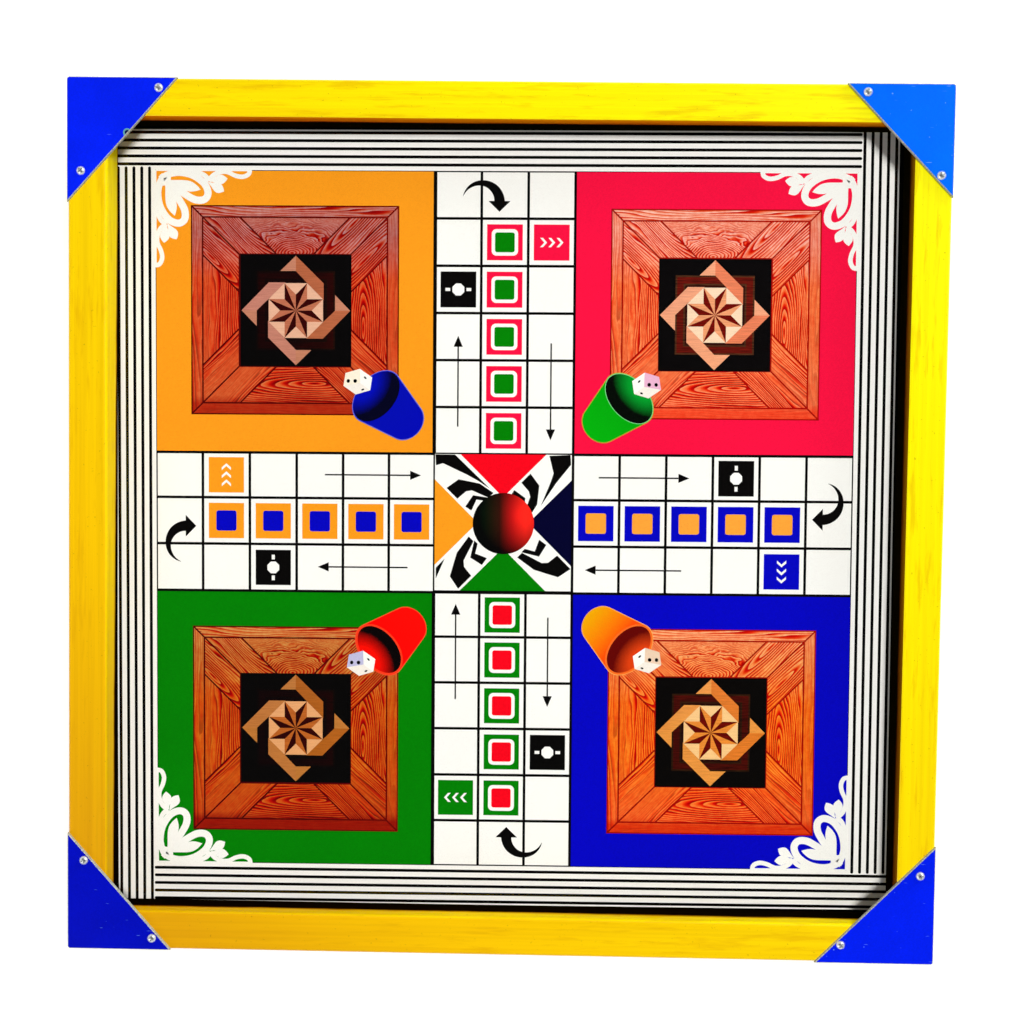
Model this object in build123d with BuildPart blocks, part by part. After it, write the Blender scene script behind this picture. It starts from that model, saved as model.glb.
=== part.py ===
from build123d import *
from collections import namedtuple
from math import asin, degrees
import os

# Folding ludo board box. A glazed playing board is framed as the upper half of a shallow wooden
# box, hinged at the back to a storage case of the same size. Two swing hooks hold it shut.
# Millimetres, +Z up, hinges at +Y. The origin is the middle of the box, on what it stands on.

Screw = namedtuple("Screw", "shank_r length head_r head_h")
Brad = namedtuple("Brad", "width thickness length head_w head_h")
Plate = namedtuple("Plate", "x_side y_side x_leg y_leg x_screw y_screw")

# Frames
side = 610.0  # outer length of each side
rail_t = 27.0  # thickness of every rail
board_h = 50.0  # height of the upper rails
case_h = 50.0  # height of the lower rails
rim_gap = 0.3  # between the two rims when the box is shut
inner_round = 2.5  # radius along the upper rails' inner top edge
outer_round = 1.5  # radius along the rails' outer edges
lip = 9.0  # wood left beyond the rebate at each end of a front or back rail

# Playing face: sheets held in a groove round the upper rails
well_depth = 28.0  # from the top of the rails down to the glass
glass_t = 3.0
print_t = 1.0
panel_t = 4.0
groove_d = 8.0
edge_clear = 0.5  # between a sheet's edge and the bottom of its groove or rebate
sheet_clear = 0.2  # above the glass in its groove

# Case floor, let into a rebate under the lower rails
floor_t = 4.0
floor_rebate = 8.0

# Corner plates, sawn and drilled by hand, so that each is a few millimetres off in its own way
plate_t = 3.0
plate_corner = 2.0  # radius at the outer corner
plate_bevel = 0.5
plate_leg = 78.0  # length of each leg as marked out
plate_run = 62.0  # from the corner along one side to a screw
plate_edge = 9.0  # from the frame's outer face to a screw
back_left = Plate(-1, 1, plate_leg - 1.4, plate_leg + 7.5,
                  (plate_run + 1.7, plate_edge - 1.8), (plate_edge + 0.7, plate_run + 2.3))
back_right = Plate(1, 1, plate_leg - 4.4, plate_leg - 1.1,
                   (plate_run - 2.2, plate_edge - 3.0), (plate_edge - 0.5, plate_run))
front_left = Plate(-1, -1, plate_leg - 5.0, plate_leg + 4.5,
                   (plate_run - 2.1, plate_edge - 0.7), (plate_edge + 2.6, plate_run + 1.2))
front_right = Plate(1, -1, plate_leg + 4.8, plate_leg + 5.3,
                    (plate_run + 2.8, plate_edge + 3.8), (plate_edge + 1.4, plate_run + 0.7))
plates = {
    "back_left": back_left,
    "back_right": back_right,
    "front_left": front_left,
    "front_right": front_right,
}

# Fasteners: round screws, and brads cut from flat wire for the wooden joints
plate_screw = Screw(shank_r=1.75, length=16.0, head_r=3.2, head_h=2.1)
hinge_screw = Screw(shank_r=1.4, length=13.0, head_r=2.9, head_h=1.5)
frame_brad = Brad(width=1.6, thickness=1.4, length=32.0, head_w=2.9, head_h=0.9)
floor_brad = Brad(width=1.2, thickness=1.0, length=15.0, head_w=1.9, head_h=0.6)
pilot_clear = 0.05  # round a shank in the wood that it holds in
hole_clear = 0.2  # round a shank in the piece that it holds down, and round a sunk head
frame_brad_spread = 28.0  # between the two brads at an end
floor_brad_pitch = 340.0  # between the two brads along one side of the floor

# Feet
foot_h = 6.0
foot_r = 10.0
foot_taper = 1.5  # narrower on the ground
foot_from_end = 35.0  # from the front or back face to a foot's middle

# Butt hinges on the back faces
hinge_from_end = 115.0  # from the box's side to a hinge's middle
hinge_len = 64.0
leaf_w = 22.0
leaf_t = 1.6
barrel_r = 3.2
barrel_gap = 0.4  # from the back faces to the barrels
knuckles = 3
knuckle_gap = 0.3
pin_r = 1.5
pin_clear = 0.05  # running clearance round the pin
pin_overhang = 0.5  # of the pin past each end of the hinge
leaf_screw_pitch = 36.0
leaf_screw_drop = 14.0  # from the hinge axis to the screws

# Swing hooks on the front faces
catch_from_end = 115.0  # from the box's side to a catch
pivot_drop = 14.0  # from the case's rim down to a hook's pivot
stud_rise = 12.0  # from the board's underside up to a stud
washer_t = 1.4
washer_r = 5.0
hook_t = 1.8
hook_play = 0.2  # each side of a hook, along its pivot
hook_eye_r = 5.4
hook_head_r = 6.2
arm_w_eye = 8.0
arm_w_head = 5.5
tab_reach = 9.0
tab_r = 3.0
catch_length = 14.0  # of a pivot or stud in the wood
catch_neck_r = 1.5
catch_head_r = 4.2
catch_head_h = 3.2
eye_clear = 0.05  # running clearance round a pivot
slot_clear = 0.3  # round a stud in a hook's slot
slot_sweep = 30.0  # degrees from the slot's closed end to its mouth

# Levels and places that follow
half = side / 2
inner = half - rail_t
rail_middle = half - rail_t / 2
z_case = foot_h
z_rim = z_case + case_h
z_board = z_rim + rim_gap
z_top = z_board + board_h
z_glass = z_top - well_depth
z_print = z_glass - glass_t
z_panel = z_print - print_t
z_groove = z_panel - panel_t
sheet_side = 2 * (inner + groove_d - edge_clear)
floor_side = 2 * (inner + floor_rebate - edge_clear)
foot_y = half - foot_from_end
hinge_x = half - hinge_from_end
catch_x = half - catch_from_end
y_axis = half + barrel_gap + barrel_r
z_axis = z_rim + rim_gap / 2
knuckle_pitch = hinge_len / knuckles
hook_space = hook_t + 2 * hook_play
y_hook = -half - washer_t - hook_play
z_pivot = z_rim - pivot_drop
z_stud = z_board + stud_rise
hook_reach = z_stud - z_pivot
hook_bore = catch_neck_r + eye_clear
slot_r = catch_neck_r + slot_clear

DOWN = (0, 0, -1)
outward = {"front": (0, -1, 0), "back": (0, 1, 0), "left": (-1, 0, 0), "right": (1, 0, 0)}


def save(piece, label):
    """Names a finished piece and writes it to its own file."""
    piece.label = label
    export_step(piece, f"parts/{label}.step")


# Places of the fasteners: planes on a surface, facing out of it. Each piece that a fastener goes
# through is drilled at the same places.
def along(name, across, runs, heights, facing=None):
    """Places on one side of the box, at a distance across from the middle."""
    x, y, _ = outward[name]
    points = [(x * across + abs(y) * run, y * across + abs(x) * run, z) for run in runs for z in heights]
    return [Plane(point, z_dir=facing or outward[name]) for point in points]


def frame_brad_places(name, z, height):
    """The brads at both ends of a front or back rail."""
    middle = z + height / 2
    levels = (middle - frame_brad_spread / 2, middle + frame_brad_spread / 2)
    return along(name, half, (-rail_middle, rail_middle), levels)


def plate_screw_places(plate, z):
    """A plate's two screws: the first into a front or back rail, the second into a side rail."""
    screws = (plate.x_screw, plate.y_screw)
    return [Plane((plate.x_side * (half - x), plate.y_side * (half - y), z)) for x, y in screws]


def floor_brad_places(name):
    """The brads along one side of the case floor, midway across the rebate."""
    runs = (-floor_brad_pitch / 2, floor_brad_pitch / 2)
    return along(name, inner + floor_rebate / 2, runs, [z_case], DOWN)


def leaf_screw_places(x, up, y):
    """The screws of one hinge leaf, above (up = 1) or below (-1) the axis."""
    runs = (x - leaf_screw_pitch / 2, x + leaf_screw_pitch / 2)
    return along("back", y, runs, [z_axis + up * leaf_screw_drop])


def catch_places(z):
    """The pivots or the studs of both catches."""
    return along("front", half, (-catch_x, catch_x), [z])


def brad_shape(brad, clear=0.0, skip=0.0):
    """A brad with its head at the top of Z, or the hole it needs with clear all round. With skip,
    only the stretch of shank that starts that far down."""
    with BuildPart() as shape:
        with BuildSketch(Plane.XY.offset(-skip)):
            Rectangle(brad.width + 2 * clear, brad.thickness + 2 * clear)
        extrude(amount=skip - brad.length)
        if not skip:
            with BuildSketch():
                Rectangle(brad.head_w + 2 * clear, brad.thickness + 2 * clear)
            extrude(amount=-brad.head_h)
    return shape.part


# Rails
def rail_section(height, low, high, depth, top_inner_r):
    """A rail's section, its outer face at x = 0 and a hollow in its inner face from low to high."""
    with BuildSketch() as section:
        Rectangle(rail_t, height, align=(Align.MIN, Align.MIN))
        fillet(section.vertices().group_by(Axis.X)[0], outer_round)
        if top_inner_r:
            fillet(section.vertices().group_by(Axis.X)[-1].sort_by(Axis.Y)[-1], top_inner_r)
        with Locations((rail_t, low)):
            Rectangle(depth, high - low, align=(Align.MAX, Align.MIN), mode=Mode.SUBTRACT)
    return section.sketch


def section_plane(name, z):
    """The plane across a rail: x runs inward from its outer face, y runs up from its underside."""
    out = Vector(*outward[name])
    return Plane(out * half + Vector(0, 0, z), x_dir=-out, z_dir=Vector(0, 0, 1).cross(out))


def long_rail(name, section, z, height, pilots):
    """A front or back rail, rebated at both ends for the side rails, which it is bradded to."""
    rebate = rail_t - lip
    y_rebate = outward[name][1] * (inner + rebate / 2)
    with BuildPart() as rail:
        with BuildSketch(section_plane(name, z)):
            add(section)
        extrude(amount=half, both=True)
        with Locations((-rail_middle, y_rebate, z + height / 2), (rail_middle, y_rebate, z + height / 2)):
            Box(rail_t, rebate, height, mode=Mode.SUBTRACT)
        with Locations(*frame_brad_places(name, z, height)):
            add(brad_shape(frame_brad, pilot_clear), mode=Mode.SUBTRACT)
        for places, radius, depth in pilots:
            with Locations(*places):
                Hole(radius + pilot_clear, depth=depth)
    return rail.part


def side_rail(name, section, z, height, pilots):
    """A left or right rail, seated between the lips of the long rails, with brads in its ends."""
    x = outward[name][0]
    brads = [place for end in ("front", "back") for place in frame_brad_places(end, z, height)]
    with BuildPart() as rail:
        with BuildSketch(section_plane(name, z)):
            add(section)
        extrude(amount=half - lip, both=True)
        with Locations(*(place for place in brads if place.origin.X * x > 0)):
            add(brad_shape(frame_brad, pilot_clear, skip=lip), mode=Mode.SUBTRACT)
        for places, radius, depth in pilots:
            with Locations(*places):
                Hole(radius + pilot_clear, depth=depth)
    return rail.part


def board_pilots(name):
    """Holes in an upper rail for the plate screws, the hinges and the catches."""
    x, y, _ = outward[name]
    near = [plate for plate in plates.values() if plate.x_side == x or plate.y_side == y]
    screws = [plate_screw_places(plate, z_top)[0 if y else 1] for plate in near]
    pilots = [(screws, plate_screw.shank_r, plate_screw.length - plate_t)]
    if name == "back":
        leaves = [place for hx in (-hinge_x, hinge_x) for place in leaf_screw_places(hx, 1, half)]
        pilots.append((leaves, hinge_screw.shank_r, hinge_screw.length - leaf_t))
    if name == "front":
        pilots.append((catch_places(z_stud), catch_neck_r, catch_length))
    return pilots


def case_pilots(name):
    """Holes in a lower rail for the hinges and the catches."""
    if name == "back":
        leaves = [place for hx in (-hinge_x, hinge_x) for place in leaf_screw_places(hx, -1, half)]
        return [(leaves, hinge_screw.shank_r, hinge_screw.length - leaf_t)]
    if name == "front":
        return [(catch_places(z_pivot), catch_neck_r, catch_length)]
    return []


os.makedirs("parts", exist_ok=True)

groove = (z_groove - z_board, z_glass + sheet_clear - z_board)
board_section = rail_section(board_h, *groove, groove_d, inner_round)
case_section = rail_section(case_h, 0, floor_t, floor_rebate, 0)
for name in outward:
    make_rail = long_rail if name in ("front", "back") else side_rail
    save(make_rail(name, board_section, z_board, board_h, board_pilots(name)), f"board_rail_{name}")
    with BuildPart() as case_rail:
        add(make_rail(name, case_section, z_case, case_h, case_pilots(name)))
        with Locations(*floor_brad_places(name)):
            add(brad_shape(floor_brad, pilot_clear, skip=floor_t), mode=Mode.SUBTRACT)
    save(case_rail.part, f"case_rail_{name}")


# Sheets
def sheet(z, thickness):
    """A square sheet in the upper rails' groove."""
    with BuildPart() as piece:
        with BuildSketch(Plane.XY.offset(z)):
            Rectangle(sheet_side, sheet_side)
        extrude(amount=thickness)
    return piece.part


save(sheet(z_groove, panel_t), "board_panel")
save(sheet(z_panel, print_t), "printed_sheet")
save(sheet(z_print, glass_t), "cover_glass")

floor_brads = [place for name in outward for place in floor_brad_places(name)]
with BuildPart() as case_floor:
    with BuildSketch(Plane.XY.offset(z_case)):
        Rectangle(floor_side, floor_side)
    extrude(amount=floor_t)
    with Locations(*floor_brads):
        add(brad_shape(floor_brad, pilot_clear), mode=Mode.SUBTRACT)
save(case_floor.part, "case_floor")

# Corner plates, triangles on top of the frame that span its corners
for corner, plate in plates.items():
    x, y = plate.x_side * half, plate.y_side * half
    tips = (x - plate.x_side * plate.x_leg, y), (x, y - plate.y_side * plate.y_leg)
    with BuildPart() as corner_plate:
        with BuildSketch(Plane.XY.offset(z_top)) as outline:
            with BuildLine():
                Polyline((x, y), *tips, close=True)
            make_face()
            fillet(outline.vertices().sort_by_distance((x, y))[0], plate_corner)
        extrude(amount=plate_t)
        chamfer(corner_plate.faces().sort_by(Axis.Z)[-1].edges(), plate_bevel)
        with Locations(*plate_screw_places(plate, z_top + plate_t)):
            Hole(plate_screw.shank_r + hole_clear, depth=plate_t)
    save(corner_plate.part, f"corner_plate_{corner}")


# Fasteners
def turned(outline, crown=0.0):
    """A solid turned about Z from points (radius, height), the first on the axis and the last at
    the rim of its top, which is flat or a dome that rises by crown."""
    rim_r, rim_z = outline[-1]
    with BuildPart() as body:
        with BuildSketch(Plane.XZ):
            with BuildLine():
                Polyline(*outline)
                if crown:
                    ball_r = (rim_r**2 + crown**2) / (2 * crown)
                    sweep = degrees(asin(rim_r / ball_r))
                    CenterArc((0, rim_z + crown - ball_r), ball_r, 90 - sweep, sweep)
                else:
                    Line(outline[-1], (0, rim_z))
                Line((0, rim_z + crown), outline[0])
            make_face()
        revolve(axis=Axis.Z)
    return body.part


def shank(radius, length, top):
    """The outline of a plain shank, from its end up to a height under the head."""
    return [(0, -length), (radius, -length), (radius, top)]


def round_head(screw):
    """A screw whose domed head stands on the surface."""
    return turned(shank(screw.shank_r, screw.length, 0) + [(screw.head_r, 0)], screw.head_h)


def countersunk(screw):
    """A screw whose conical head lies flush in a countersink."""
    return turned(shank(screw.shank_r, screw.length, -screw.head_h) + [(screw.head_r, 0)])


def fasten(piece, places, label):
    """One fastener at each of its places, written as one group."""
    with BuildPart() as group:
        with Locations(*places):
            add(piece)
    save(group.part, label)


plate_places = [place for plate in plates.values() for place in plate_screw_places(plate, z_top + plate_t)]
fasten(round_head(plate_screw), plate_places, "corner_plate_screws")
for frame, z, height in (("board", z_board, board_h), ("case", z_case, case_h)):
    brads = [place for end in ("front", "back") for place in frame_brad_places(end, z, height)]
    fasten(brad_shape(frame_brad), brads, f"{frame}_frame_brads")
fasten(brad_shape(floor_brad), floor_brads, "case_floor_brads")

# Feet, stuck on under the side rails
for name, x in (("left", -rail_middle), ("right", rail_middle)):
    for end, y in (("front", -foot_y), ("back", foot_y)):
        with BuildPart() as foot:
            with Locations((x, y, 0)):
                Cone(foot_r - foot_taper, foot_r, foot_h, align=(Align.CENTER, Align.CENTER, Align.MIN))
        save(foot.part, f"foot_{end}_{name}")


# Hinges
def hinge_leaf(x, up, own):
    """A leaf on the back face above (up = 1) or below (-1) the axis. It has the knuckles numbered
    in own, and a notch for each of the other leaf's."""
    middles = [x + knuckle_pitch * (n - (knuckles - 1) / 2) for n in range(knuckles)]
    others = [(x - middles[n], 0) for n in range(knuckles) if n not in own]
    edge = Align.MIN if up > 0 else Align.MAX
    with BuildPart() as leaf:
        with BuildSketch(Plane((x, half, z_axis), x_dir=(-1, 0, 0), z_dir=(0, 1, 0))):
            Rectangle(hinge_len - knuckle_gap, leaf_w, align=(Align.CENTER, edge))
            with Locations(*others):
                Rectangle(knuckle_pitch + knuckle_gap, 2 * (barrel_r + barrel_gap), mode=Mode.SUBTRACT)
        extrude(amount=leaf_t)
        with Locations(*((middles[n], y_axis, z_axis) for n in own)):
            Cylinder(barrel_r, knuckle_pitch - knuckle_gap, rotation=(0, 90, 0))
        with Locations((x, y_axis, z_axis)):
            Cylinder(pin_r + pin_clear, hinge_len, rotation=(0, 90, 0), mode=Mode.SUBTRACT)
        with Locations(*leaf_screw_places(x, up, half + leaf_t)):
            CounterSinkHole(hinge_screw.shank_r + hole_clear, hinge_screw.head_r + hole_clear, depth=leaf_t)
    return leaf.part


for name, x in (("left", -hinge_x), ("right", hinge_x)):
    save(hinge_leaf(x, -1, range(0, knuckles, 2)), f"hinge_leaf_case_{name}")
    save(hinge_leaf(x, 1, range(1, knuckles, 2)), f"hinge_leaf_board_{name}")
    with BuildPart() as pin:
        with Locations((x, y_axis, z_axis)):
            Cylinder(pin_r, hinge_len + 2 * pin_overhang, rotation=(0, 90, 0))
    save(pin.part, f"hinge_pin_{name}")
for frame, up in (("board", 1), ("case", -1)):
    screws = [place for x in (-hinge_x, hinge_x) for place in leaf_screw_places(x, up, half + leaf_t)]
    fasten(countersunk(hinge_screw), screws, f"hinge_screws_{frame}")


# Catches
def swing_hook(x):
    """A flat hook that hangs from its pivot. Its slot is an arc about the pivot, so that turning
    the hook up draws the slot over the stud above."""
    head = (0, -hook_reach)
    with BuildPart() as hook:
        with BuildSketch(Plane((x, y_hook, z_pivot), x_dir=(1, 0, 0), z_dir=(0, -1, 0))):
            Circle(hook_eye_r)
            with BuildLine():
                top, foot = arm_w_eye / 2, arm_w_head / 2
                Polyline((-top, 0), (top, 0), (foot, -hook_reach), (-foot, -hook_reach), close=True)
            make_face()
            with Locations(head):
                Circle(hook_head_r)
            with Locations((tab_reach / 2, -hook_reach)):
                SlotCenterToCenter(tab_reach, 2 * tab_r)
            Circle(hook_bore, mode=Mode.SUBTRACT)
            with BuildLine():
                near = CenterArc((0, 0), hook_reach - slot_r, 270 - slot_sweep, slot_sweep)
                far = CenterArc((0, 0), hook_reach + slot_r, 270 - slot_sweep, slot_sweep)
                CenterArc(head, slot_r, -90, 180)
                Line(near @ 0, far @ 0)
            make_face(mode=Mode.SUBTRACT)
        extrude(amount=hook_t)
    return hook.part


for name, x in (("left", -catch_x), ("right", catch_x)):
    save(swing_hook(x), f"catch_hook_{name}")

neck_top = washer_t + hook_space
neck = [(catch_neck_r, neck_top), (catch_head_r, neck_top)]
collar = [(washer_r, 0), (washer_r, washer_t), (catch_neck_r, washer_t)]
pivot = shank(catch_neck_r, catch_length, neck_top) + neck[1:]
stud = shank(catch_neck_r, catch_length, 0) + collar + neck
fasten(turned(pivot, catch_head_h), catch_places(z_pivot), "catch_pivot_screws")
fasten(turned(stud, catch_head_h), catch_places(z_stud), "catch_studs")
with BuildPart() as washer:
    Cylinder(washer_r, washer_t, align=(Align.CENTER, Align.CENTER, Align.MIN))
    Cylinder(catch_neck_r + hole_clear, 3 * washer_t, mode=Mode.SUBTRACT)
fasten(washer.part, catch_places(z_pivot), "catch_washers")
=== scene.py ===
from functools import partial
import bpy
import numpy as np
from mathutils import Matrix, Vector


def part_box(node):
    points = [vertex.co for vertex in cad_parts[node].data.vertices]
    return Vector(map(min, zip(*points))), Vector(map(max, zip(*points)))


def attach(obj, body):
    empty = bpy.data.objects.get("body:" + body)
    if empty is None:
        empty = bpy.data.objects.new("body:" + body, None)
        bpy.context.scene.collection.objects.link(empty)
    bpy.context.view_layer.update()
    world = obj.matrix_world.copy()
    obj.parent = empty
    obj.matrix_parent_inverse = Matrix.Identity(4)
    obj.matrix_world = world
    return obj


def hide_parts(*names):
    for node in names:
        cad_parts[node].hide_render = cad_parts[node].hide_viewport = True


# Folding ludo board box: the print under its glass, and the finish of every surface.
# Sizes are in millimetres and turned to metres where a mesh is made. +Z is up, hinges at +Y.

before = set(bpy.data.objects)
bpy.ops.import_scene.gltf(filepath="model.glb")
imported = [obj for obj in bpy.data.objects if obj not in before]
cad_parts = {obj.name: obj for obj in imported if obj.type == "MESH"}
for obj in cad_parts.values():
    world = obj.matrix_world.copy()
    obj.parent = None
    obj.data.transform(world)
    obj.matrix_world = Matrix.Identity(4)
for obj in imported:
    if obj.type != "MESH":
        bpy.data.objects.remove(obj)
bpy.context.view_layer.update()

MM = 0.001


def per(size):
    """How many of a size in millimetres go into a metre: the scale of a pattern of that size."""
    return 1 / (size * MM)


def edge(node, corner, axis):
    """One coordinate of a node's box: corner 0 is its lowest, 1 its highest."""
    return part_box(node)[corner]["xyz".index(axis)] / MM


# The frame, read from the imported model
rim_top = edge("board_rail_front", 1, "z")
half = edge("board_rail_front", 1, "x")
inner = edge("board_rail_right", 0, "x")
glass_low = edge("cover_glass", 0, "z")
card_low = edge("printed_sheet", 0, "z")
sheet_half = edge("printed_sheet", 1, "x")
panel_low = edge("board_panel", 0, "z")
plate_top = edge("corner_plate_back_left", 1, "z")

# The print: a square of play with sixteen lines each way, and three lanes across its middle
card_top = glass_low - 0.30
ink_step = 0.015  # each colour lies this far above the one before
hair, hairs = 0.06, 13  # of a step, by which each slab is thicker than the last, for so many in turn
play = 249.7  # half the square of play
centre = (-1.12, -0.53)  # of the print in the frame
askew = 0.327  # degrees that the print lies turned in the frame, counter-clockwise
line = 1.9  # between two squares
play_edge = 0.5  # dark line left along the edge of play
columns = np.linspace(-play, play, 16)
columns[1:7] += (0.3, 0.9, 1.4, 1.5, 1.2, 0.7)  # the press stretched the left arm a little
lane_rows = (-50.8, -17.0, 16.4, 48.8)  # the lanes across the middle sit a little low
rows = np.concatenate([np.linspace(-play, lane_rows[0], 7), lane_rows[1:3],
                       np.linspace(lane_rows[3], play, 7)])
rows[2:6] += (0.3, 0.9, 1.1, 1.1)

# Stripes round the play, five to a side
stripe = 2.1
stripe_first = 4.1  # from the edge of play to the first one's middle
stripe_pitch = 5.6
stripe_past = 2.3  # how far a stripe runs past the play before it ends
shadow_band_from = 28.7  # from the edge of play to where the black band of painted shadow starts, at the foot of the walls
under_frame = inner + 6  # how far out the print goes, under the frame

# The four homes: parquet squares set in plain colour
parquet_half = 74.1
parquet_border = 8.0
parquet_joint = 1.1  # dark line between two planks
parquet_rim = 0.4  # dark line round them
plank = 18.9  # width of a diagonal plank
medallion_half = 39.8
homes = {  # middle of each parquet square and of its medallion
    "back_left": ((-149.8, 150.4), (-149.1, 150.4)),
    "back_right": ((150.0, 149.0), (149.6, 148.7)),
    "front_left": ((-149.2, -151.0), (-149.0, -150.4)),
    "front_right": ((150.8, -150.3), (150.8, -150.5)),
}


# Flat outlines, as arrays of points that run round a shape
def turn(points, quarters):
    """Points turned clockwise about the middle of the play by a number of right angles."""
    angle = -np.pi / 2 * quarters
    c, s = np.cos(angle), np.sin(angle)
    return np.asarray(points, float) @ np.array([[c, s], [-s, c]])


def move(points, x, y):
    """Points moved along."""
    return np.asarray(points, float) + (x, y)


def arc(t, across=1.0, along=1.0):
    """Points about the origin at angles in radians: cosine times across and sine times along."""
    return np.column_stack([across * np.cos(t), along * np.sin(t)])


def rectangle(x0, y0, x1, y1, corner=0.0):
    """A rectangle, its corners quarter circles where a radius is given."""
    if not corner:
        return np.array([(x0, y0), (x1, y0), (x1, y1), (x0, y1)], float)
    bends = np.linspace(0, np.pi / 2, 7)
    parts = []
    for k, (x, y) in enumerate([(x1, y1), (x0, y1), (x0, y0), (x1, y0)]):
        middle = (x - np.sign(x - (x0 + x1) / 2) * corner, y - np.sign(y - (y0 + y1) / 2) * corner)
        parts.append(arc(bends + k * np.pi / 2) * corner + middle)
    return np.vstack(parts)


def square(x, y, side, corner=0.0):
    """A square about a point."""
    return rectangle(x - side / 2, y - side / 2, x + side / 2, y + side / 2, corner)


def ellipse(x, y, across, along, tilt=0.0, steps=64):
    """An ellipse about a point, turned by a tilt."""
    t = np.linspace(0, 2 * np.pi, steps, endpoint=False)
    return move(turn(arc(t, across, along), -tilt / 90), x, y)


def smooth(points, steps=9):
    """A curve through points: on each stretch a cubic whose slope at either end is half the step
    between that end's two neighbours."""
    p = np.asarray(points, float)
    p = np.vstack([2 * p[0] - p[1], p, 2 * p[-1] - p[-2]])
    t = np.linspace(0, 1, steps, endpoint=False)[None, :, None]
    a, b, c, d = (part[:, None, :] for part in (p[:-3], p[1:-2], p[2:-1], p[3:]))
    bends = 2 * b + (c - a) * t + (2 * a - 5 * b + 4 * c - d) * t**2 + (3 * b - a - 3 * c + d) * t**3
    return np.vstack([bends.reshape(-1, 2) / 2, p[-2]])


def stroke(path, widths):
    """The outline of a line of varying width: each point of its path set off by half the width to
    the left going out and to the right coming back."""
    path = np.asarray(path, float)
    widths = np.interp(np.linspace(0, 1, len(path)), np.linspace(0, 1, len(widths)), widths)
    run = np.gradient(path, axis=0)
    run /= np.linalg.norm(run, axis=1)[:, None]
    off = np.column_stack([-run[:, 1], run[:, 0]]) * widths[:, None] / 2
    return np.vstack([path + off, (path - off)[::-1]])


def leaf(base, tip, half_width, fullness=1.0, steps=14):
    """A leaf from base to tip, as wide as the sine of the way along raised to its fullness."""
    base, tip = np.asarray(base, float), np.asarray(tip, float)
    s = np.linspace(0, 1, steps)
    side = np.array([-(tip - base)[1], (tip - base)[0]]) / np.linalg.norm(tip - base)
    bulge = half_width * np.sin(np.pi * s**fullness)
    spine = base + s[:, None] * (tip - base)
    return np.vstack([spine + bulge[:, None] * side, (spine - bulge[:, None] * side)[-2:0:-1]])


def inset(outline, by):
    """A convex outline drawn in by a distance: each edge moves along its normal, and each new
    corner is where two neighbours cross."""
    p = facing_up(outline)
    run = np.roll(p, -1, axis=0) - p
    normal = np.column_stack([-run[:, 1], run[:, 0]]) / np.linalg.norm(run, axis=1)[:, None]
    reach = (normal * p).sum(axis=1) + by
    pairs = np.stack([np.roll(normal, 1, axis=0), normal], axis=1)
    return np.linalg.solve(pairs, np.stack([np.roll(reach, 1), reach], axis=1)[:, :, None])[:, :, 0]


def facing_up(outline):
    """The outline run counter-clockwise, so that its face looks up."""
    x, y = outline[:, 0], outline[:, 1]
    area = (x * np.roll(y, -1) - np.roll(x, -1) * y).sum()
    return outline if area > 0 else outline[::-1]


# Objects and meshes
def put(name, data):
    """A new object in the scene, at the origin."""
    thing = bpy.data.objects.new(name, data)
    bpy.context.scene.collection.objects.link(thing)
    return thing


def mesh_piece(name, points, faces, material, body, slot, uv=None, smooth_faces=False):
    """An object at the origin from points in millimetres, with a pattern place for each point."""
    mesh = bpy.data.meshes.new(name)
    mesh.from_pydata((np.asarray(points) * MM).tolist(), [], faces)
    if uv is not None:
        corners = np.empty(len(mesh.loops), int)
        mesh.loops.foreach_get("vertex_index", corners)
        layer = mesh.uv_layers.new(name="pattern")
        layer.data.foreach_set("uv", np.asarray(uv)[corners].ravel())
    mesh.polygons.foreach_set("use_smooth", [smooth_faces] * len(mesh.polygons))
    mesh.materials.append(material)
    mesh.update()
    piece = put(name, mesh)
    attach(piece, body)
    return piece


def slab(outline, low, high):
    """An outline carried straight up from low to high and closed at both ends."""
    n = len(outline)
    points = np.vstack([np.column_stack([outline, np.full(n, z)]) for z in (low, high)])
    i = np.arange(n)
    j = np.roll(i, -1)
    sides = np.column_stack([i, j, j + n, i + n]).tolist()
    return points, [i[::-1].tolist(), (i + n).tolist()] + sides


def ink(name, material, shapes, level):
    """One colour of the print. Each shape is an outline, or an outline and the affine map, two by three, from
    its points to its pattern. It becomes a low slab on the card, and each slab is a hair thicker than the one
    before, so that no two that cross share a face."""
    points, faces, places, count = [], [], [], 0
    for k, shape in enumerate(shapes):
        outline, pattern = shape if isinstance(shape, tuple) else (shape, None)
        outline = facing_up(outline)
        flat = np.column_stack([outline, np.ones(len(outline))])
        place = outline * MM if pattern is None else flat @ np.asarray(pattern).T
        lie = turn(outline, -askew / 90) + centre
        corners, sides = slab(lie, card_top - ink_step, card_top + (level + hair * (k % hairs)) * ink_step)
        faces += [[corner + count for corner in face] for face in sides]
        points.append(corners)
        places.append(np.vstack([place, place]))
        count += len(corners)
    return mesh_piece(f"print_{name}", np.vstack(points), faces, material, "board", "print",
                      np.vstack(places))


# Colours and shader nodes
def linear(code, gain=1.0):
    """An sRGB hex value as the linear colour that a shader takes, lighter or darker by a gain."""
    srgb = np.array([int(code[k:k + 2], 16) for k in (1, 3, 5)]) / 255
    rgb = np.where(srgb <= 0.04045, srgb / 12.92, ((srgb + 0.055) / 1.055) ** 2.4)
    return (*np.clip(rgb * gain, 0, 1).tolist(), 1.0)


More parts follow.
